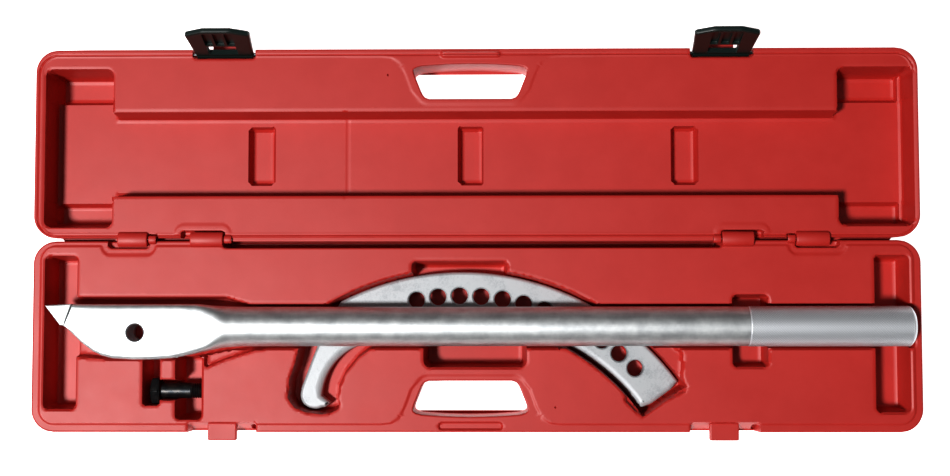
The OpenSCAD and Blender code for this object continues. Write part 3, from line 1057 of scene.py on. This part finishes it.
class StageSettings(bpy.types.PropertyGroup):
    lens: FloatProperty(
        name="Lens", description="Focal length for a 36 mm wide sensor", default=49.93, min=20, max=200,
        unit="CAMERA",
    )
    key_power: FloatProperty(
        name="Key light", description="Power of the key light, in watts", default=250.0, min=0, max=2000,
    )
    fill_power: FloatProperty(
        name="Fill light", description="Power of the overhead fill, in watts", default=2.0, min=0, max=500,
    )
    world: FloatProperty(
        name="Surroundings", description="Brightness of the surroundings", default=0.05, min=0, max=5,
    )
    segments: IntProperty(
        name="Floor corners", description="Corners of the round floor", default=96, min=12, max=256,
    )


# ---------------------------------------------------------------- operators


class LUGWRENCH_OT_base(bpy.types.Operator):
    """Builds the base half of the case: pockets for every stored piece, knuckles, ears and catches"""

    bl_idname = "lugwrench.base"
    bl_label = "Case Base"

    def execute(self, context):
        settings = context.scene.lugwrench_case
        half = BaseHalf(-1, base_pockets(), -0.9, (5.6, 7.0), settings.step)
        shell = half.build()
        hinge_half(shell, -1)
        block(shell, (-366.0, -4.0, 1.0), (366.0, 0.9, 14.0), 0.8)
        for x in LATCH_X:
            block(shell, (x - 12.6, -175.4, 31.5), (x + 12.6, -160.0, 38.5), 1.0)
        obj = shell.piece("base_half", [blow_moulded_red(settings)], "base", ["case_base"], "case_red")
        context.scene["lugwrench_red"] = obj.data.materials[0]
        return {"FINISHED"}


class LUGWRENCH_OT_lid(bpy.types.Operator):
    """Builds the lid half of the case: hollows over the bar, floor recesses, knuckles and latch notches"""

    bl_idname = "lugwrench.lid"
    bl_label = "Case Lid"

    def execute(self, context):
        settings = context.scene.lugwrench_case
        half = LidHalf(1, lid_pockets(), 0.42, (4.8, 6.6), settings.step)
        shell = half.build()
        hinge_half(shell, 1)
        block(shell, (-219.4, -1.9, 35.8), (214.4, 2.6, 41.6), 0.8)
        block(shell, (-366.0, -0.9, 20.0), (366.0, 2.6, 30.0), 0.8)
        for x in LATCH_X:
            block(shell, (x - 14, 160.0, 14.0), (x + 14, 179.5, 24.0), 0.8)
        shell.piece("lid_half", [context.scene["lugwrench_red"]], "lid", ["case_lid"], "case_red")
        return {"FINISHED"}


class LUGWRENCH_OT_latches(bpy.types.Operator):
    """Builds both latches, each a bevelled plate with a window, ribs and a pivot barrel"""

    bl_idname = "lugwrench.latches"
    bl_label = "Latches"

    def execute(self, context):
        material = latch_nylon()
        for side, x in zip(("left", "right"), LATCH_X):
            body, tool = latch_shells(x)
            obj = body.piece(
                f"{side}_latch_plate", [material], f"{side}_latch", [f"latch_{side}"], "latch_black",
            )
            carve(obj, tool)
        return {"FINISHED"}


class LUGWRENCH_OT_pins(bpy.types.Operator):
    """Gives the hinge and latch pins of the frame their drawn-wire steel"""

    bl_idname = "lugwrench.pins"
    bl_label = "Pins"

    def execute(self, context):
        material = drawn_wire()
        for name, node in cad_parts.items():
            if "pin_" in name:
                node.data.materials.clear()
                node.data.materials.append(material)
        return {"FINISHED"}


class LUGWRENCH_OT_bar(bpy.types.Operator):
    """Builds the lever bar with its slotted head and pivot hole, its knurled grip and its bite tip"""

    bl_idname = "lugwrench.bar"
    bl_label = "Lever Bar"

    def execute(self, context):
        settings = context.scene.lugwrench_tool
        steel = forged_bar_steel(settings)
        bar = bar_shell().piece("lever_shank", [steel], "lever", ["lever_bar"], "bar_steel", 30)
        tool = Shell()
        c = settings.chamfer
        top, low = BAR_Z + 15.2, BAR_Z - 15.2
        lathe_z(
            tool, *HEAD_HOLE,
            [(7.25 + c + 0.3, low - 0.2), (7.25, low + c), (7.25, top - c), (7.25 + c + 0.3, top + 0.2)],
        )
        block(tool, (HEAD_HOLE[0] - 32, -120, BAR_Z - 7.4), (HEAD_HOLE[0] + 34, -30, BAR_Z + 7.4), 0.3)
        carve(bar, tool)
        grip_shell(pitch=settings.knurl_pitch).piece(
            "knurled_grip", [knurled_steel()], "lever", slot="bar_steel", sharp=180,
        )
        tip = Shell()
        outline = resample(
            np.array([(-370.0, 18.4), (-356.8, 1.5), (-353.5, 1.3), (-347.2, 19.6)]) + (0, BAR_Y), 2.0,
        )
        prism(
            tip, outline,
            [
                (0.9, BAR_Z - 14.7), (0.2, BAR_Z - 14.4), (0, BAR_Z - 13.8), (0, BAR_Z + 13.8),
                (0.2, BAR_Z + 14.4), (0.9, BAR_Z + 14.7),
            ],
        )
        tip.piece("bite_tip_steel", [steel], "lever", ["bite_tip"], "bar_steel", 30)
        return {"FINISHED"}


class LUGWRENCH_OT_arm(bpy.types.Operator):
    """Builds the cast hook arm with its tooth and its row of adjustment holes"""

    bl_idname = "lugwrench.arm"
    bl_label = "Hook Arm"

    def execute(self, context):
        settings = context.scene.lugwrench_tool
        outline, weight = arm_outline()
        low, top = ARM_TOP - ARM_T, ARM_TOP
        shell = Shell()
        rings = [
            (5.0, low), (4.6, low), (1.6, low + 0.7), (0.3, low + 2.2), (0, low + 3.4), (0, top - 4.4),
            (0.35, top - 2.9), (1.7, top - 1.2), (4.0, top - 0.25), (6.2, top), (6.7, top),
        ]
        prism(shell, outline, rings, weight)
        obj = shell.piece(
            "hook_arm_casting", [cast_arm_paint(settings)], "arm", ["hook_arm"], "arm_steel", 30,
        )
        tool = Shell()
        c = settings.chamfer
        count, first, radius, pitch = ARM_HOLES
        for k in range(count):
            a = math.radians(first) + k * pitch / radius
            x, y = ARM_CENTRE[0] + radius * math.sin(a), ARM_CENTRE[1] + radius * math.cos(a)
            lathe_z(
                tool, x, y,
                [
                    (7.25 + c, low - 0.5), (7.25 + c, low), (7.25, low + c), (7.25, top - c), (7.25 + c, top),
                    (7.25 + c, top + 0.5),
                ],
                40,
            )
        carve(obj, tool)
        return {"FINISHED"}


class LUGWRENCH_OT_bolt(bpy.types.Operator):
    """Builds the pivot bolt with its chamfered hexagon and rolled thread"""

    bl_idname = "lugwrench.bolt"
    bl_label = "Pivot Bolt"

    def execute(self, context):
        settings = context.scene.lugwrench_tool
        shell = bolt_shell(pitch=settings.thread_pitch)
        shell.piece("pivot_bolt_steel", [black_oxide()], "bolt", ["pivot_bolt"], "bolt_black", 34)
        return {"FINISHED"}


class LUGWRENCH_OT_stage(bpy.types.Operator):
    """Builds the pale floor, the soft lights and the camera"""

    bl_idname = "lugwrench.stage"
    bl_label = "Stage"

    def execute(self, context):
        scene, settings = context.scene, context.scene.lugwrench_stage
        ring = circle(settings.segments)
        mesh = bpy.data.meshes.new("floor")
        mesh.from_pydata([(x * 6, y * 6, -0.001) for x, y in ring], [], [list(range(settings.segments))])
        material, *_ = start_material(
            "pale_floor", Base_Color=linear("#FAFAFA"), Roughness=0.8, Emission_Color=(1.0, 1.0, 1.0, 1.0),
            Emission_Strength=1.0,
        )
        mesh.materials.append(material)
        floor = bpy.data.objects.new("floor", mesh)
        scene.collection.objects.link(floor)
        for name, place, size, power in (
            ("key", (-1.92, -0.96, 4.52), 0.75, settings.key_power),
            ("fill", (0.3, 0.5, 2.6), 2.4, settings.fill_power),
        ):
            light = bpy.data.lights.new(name, "AREA")
            light.shape, light.size, light.energy = "DISK", size, power
            obj = bpy.data.objects.new(name, light)
            obj.location = place
            obj.rotation_euler = (
                Vector((0.0, 0.08, 0.0)) - Vector(place)
            ).to_track_quat("-Z", "Y").to_euler()
            scene.collection.objects.link(obj)
        world = bpy.data.worlds.new("surroundings")
        world.use_nodes = True
        world.node_tree.nodes["Background"].inputs["Color"].default_value = (1, 1, 1, 1)
        world.node_tree.nodes["Background"].inputs["Strength"].default_value = settings.world
        scene.world = world
        data = bpy.data.cameras.new("camera")
        data.sensor_width, data.lens = 36.0, settings.lens
        camera = bpy.data.objects.new("camera", data)
        scene.collection.objects.link(camera)
        to_camera = Matrix.Rotation(math.radians(0.05), 3, "Z") @ Matrix.Rotation(
            math.radians(-2.99), 3, "X",
        ) @ Matrix.Rotation(math.radians(-0.84), 3, "Y")
        camera.matrix_world = Matrix.Translation((0.0169, 0.0255, 1.192)) @ to_camera.transposed().to_4x4()
        scene.camera = camera
        scene.view_settings.view_transform = "Standard"
        scene.view_settings.gamma = 0.8
        scene.view_settings.exposure = 0.22
        return {"FINISHED"}


PIECES = ("base", "lid", "latches", "pins", "bar", "arm", "bolt", "stage")


class LUGWRENCH_PT_panel(bpy.types.Panel):
    """Lists the wrench's pieces and their settings"""

    bl_label = "Lug Wrench"
    bl_idname = "LUGWRENCH_PT_panel"
    bl_space_type = "VIEW_3D"
    bl_region_type = "UI"
    bl_category = "Lug Wrench"

    def draw(self, context):
        for name in PIECES:
            self.layout.operator(f"lugwrench.{name}")
        for group in (
            context.scene.lugwrench_case, context.scene.lugwrench_tool, context.scene.lugwrench_stage,
        ):
            for key in group.bl_rna.properties.keys():
                if key not in ("rna_type", "name"):
                    self.layout.prop(group, key)


CLASSES = (
    CaseSettings, ToolSettings, StageSettings, LUGWRENCH_OT_base, LUGWRENCH_OT_lid, LUGWRENCH_OT_latches,
    LUGWRENCH_OT_pins, LUGWRENCH_OT_bar, LUGWRENCH_OT_arm, LUGWRENCH_OT_bolt, LUGWRENCH_OT_stage,
    LUGWRENCH_PT_panel,
)  # fmt: skip


def register():
    for cls in CLASSES:
        bpy.utils.register_class(cls)
    bpy.types.Scene.lugwrench_case = PointerProperty(type=CaseSettings)
    bpy.types.Scene.lugwrench_tool = PointerProperty(type=ToolSettings)
    bpy.types.Scene.lugwrench_stage = PointerProperty(type=StageSettings)


def unregister():
    for name in ("lugwrench_case", "lugwrench_tool", "lugwrench_stage"):
        delattr(bpy.types.Scene, name)
    for cls in reversed(CLASSES):
        bpy.utils.unregister_class(cls)


def main():
    register()
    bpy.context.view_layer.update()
    for name in PIECES:
        getattr(bpy.ops.lugwrench, name)()


if __name__ == "__main__":
    main()
